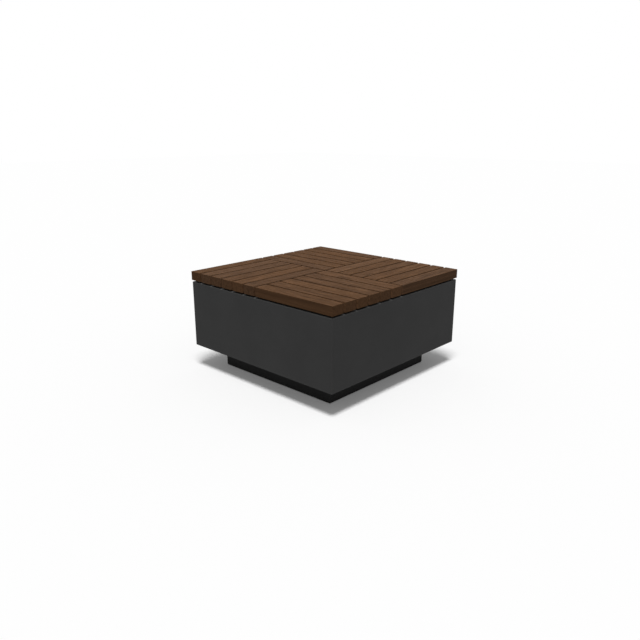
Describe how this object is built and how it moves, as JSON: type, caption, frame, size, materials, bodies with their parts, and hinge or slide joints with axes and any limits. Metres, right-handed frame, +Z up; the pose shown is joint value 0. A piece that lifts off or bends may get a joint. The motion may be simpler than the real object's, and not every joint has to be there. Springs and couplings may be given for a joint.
{
  "type": "square outdoor stool",
  "caption": "Square outdoor stool: hardwood slats in a basket-weave of four quarters on a folded-steel box body, on a recessed plinth with levelling feet inside.",
  "frame": {"origin": "middle of the footprint, on the ground", "axes": "+Z up; -Y the front face, +X the right face; the front right quarter's slats run along X and the next quarter's, anticlockwise from above, along Y"},
  "size_m": [0.853, 0.853, 0.449],
  "materials": {
    "oiled_hardwood": "dark brown oiled hardwood, planed, fine lengthwise grain",
    "grey_powder_coat": "dark grey matt fine-texture powder coat on sheet steel",
    "black_powder_coat": "black matt powder coat on sheet steel",
    "stainless_steel": "plain stainless steel",
    "black_rubber": "matt black outdoor rubber",
    "black_nylon": "matt black moulded nylon"
  },
  "bodies": {
    "stool": {"slat_front_right_1": "oiled_hardwood", "slat_front_right_2": "oiled_hardwood", "slat_front_right_3": "oiled_hardwood", "slat_front_right_4": "oiled_hardwood", "slat_front_right_5": "oiled_hardwood", "slat_front_right_6": "oiled_hardwood", "slat_rear_right_1": "oiled_hardwood", "slat_rear_right_2": "oiled_hardwood", "slat_rear_right_3": "oiled_hardwood", "slat_rear_right_4": "oiled_hardwood", "slat_rear_right_5": "oiled_hardwood", "slat_rear_right_6": "oiled_hardwood", "slat_rear_left_1": "oiled_hardwood", "slat_rear_left_2": "oiled_hardwood", "slat_rear_left_3": "oiled_hardwood", "slat_rear_left_4": "oiled_hardwood", "slat_rear_left_5": "oiled_hardwood", "slat_rear_left_6": "oiled_hardwood", "slat_front_left_1": "oiled_hardwood", "slat_front_left_2": "oiled_hardwood", "slat_front_left_3": "oiled_hardwood", "slat_front_left_4": "oiled_hardwood", "slat_front_left_5": "oiled_hardwood", "slat_front_left_6": "oiled_hardwood", "body_shell_front": "grey_powder_coat", "body_shell_rear": "grey_powder_coat", "underside_panel": "grey_powder_coat", "base_rail_front": "grey_powder_coat", "base_rail_rear": "grey_powder_coat", "seat_frame_front": "black_powder_coat", "seat_frame_right": "black_powder_coat", "seat_frame_rear": "black_powder_coat", "seat_frame_left": "black_powder_coat", "seat_cross_rail": "black_powder_coat", "seat_cross_stub_front": "black_powder_coat", "seat_cross_stub_rear": "black_powder_coat", "plinth_front": "black_powder_coat", "plinth_right": "black_powder_coat", "plinth_rear": "black_powder_coat", "plinth_left": "black_powder_coat", "foot_brackets": "black_powder_coat", "slat_screws": "stainless_steel", "seat_screws": "stainless_steel", "seat_weld_nuts": "stainless_steel", "plinth_bolts": "stainless_steel", "plinth_nuts": "stainless_steel", "foot_weld_nuts": "stainless_steel", "foot_lock_nuts": "stainless_steel", "seat_gaskets": "black_rubber"},
    "pad_front_right": {"foot_pad_front_right": "black_nylon"},
    "spindle_front_right": {"foot_spindle_front_right": "stainless_steel"},
    "pad_rear_right": {"foot_pad_rear_right": "black_nylon"},
    "spindle_rear_right": {"foot_spindle_rear_right": "stainless_steel"},
    "pad_rear_left": {"foot_pad_rear_left": "black_nylon"},
    "spindle_rear_left": {"foot_spindle_rear_left": "stainless_steel"},
    "pad_front_left": {"foot_pad_front_left": "black_nylon"},
    "spindle_front_left": {"foot_spindle_front_left": "stainless_steel"}
  },
  "joints": [
    {"name": "foot_travel_front_right", "type": "slide", "parent": "stool", "child": "pad_front_right", "axis": [0, 0, -1], "range_m": [0, 0.02]},
    {"name": "foot_turn_front_right", "type": "hinge", "parent": "pad_front_right", "child": "spindle_front_right", "pos_m": [0.235, -0.235, 0.05], "axis": [0, 0, -1], "range_deg": [0, 4114.29]},
    {"name": "foot_travel_rear_right", "type": "slide", "parent": "stool", "child": "pad_rear_right", "axis": [0, 0, -1], "range_m": [0, 0.02]},
    {"name": "foot_turn_rear_right", "type": "hinge", "parent": "pad_rear_right", "child": "spindle_rear_right", "pos_m": [0.235, 0.235, 0.05], "axis": [0, 0, -1], "range_deg": [0, 4114.29]},
    {"name": "foot_travel_rear_left", "type": "slide", "parent": "stool", "child": "pad_rear_left", "axis": [0, 0, -1], "range_m": [0, 0.02]},
    {"name": "foot_turn_rear_left", "type": "hinge", "parent": "pad_rear_left", "child": "spindle_rear_left", "pos_m": [-0.235, 0.235, 0.05], "axis": [0, 0, -1], "range_deg": [0, 4114.29]},
    {"name": "foot_travel_front_left", "type": "slide", "parent": "stool", "child": "pad_front_left", "axis": [0, 0, -1], "range_m": [0, 0.02]},
    {"name": "foot_turn_front_left", "type": "hinge", "parent": "pad_front_left", "child": "spindle_front_left", "pos_m": [-0.235, -0.235, 0.05], "axis": [0, 0, -1], "range_deg": [0, 4114.29]}
  ],
  "couplings": [
    {"joint": "foot_turn_front_right", "follows": "foot_travel_front_right", "rad_per_m": 3590.4},
    {"joint": "foot_turn_rear_right", "follows": "foot_travel_rear_right", "rad_per_m": 3590.4},
    {"joint": "foot_turn_rear_left", "follows": "foot_travel_rear_left", "rad_per_m": 3590.4},
    {"joint": "foot_turn_front_left", "follows": "foot_travel_front_left", "rad_per_m": 3590.4}
  ]
}
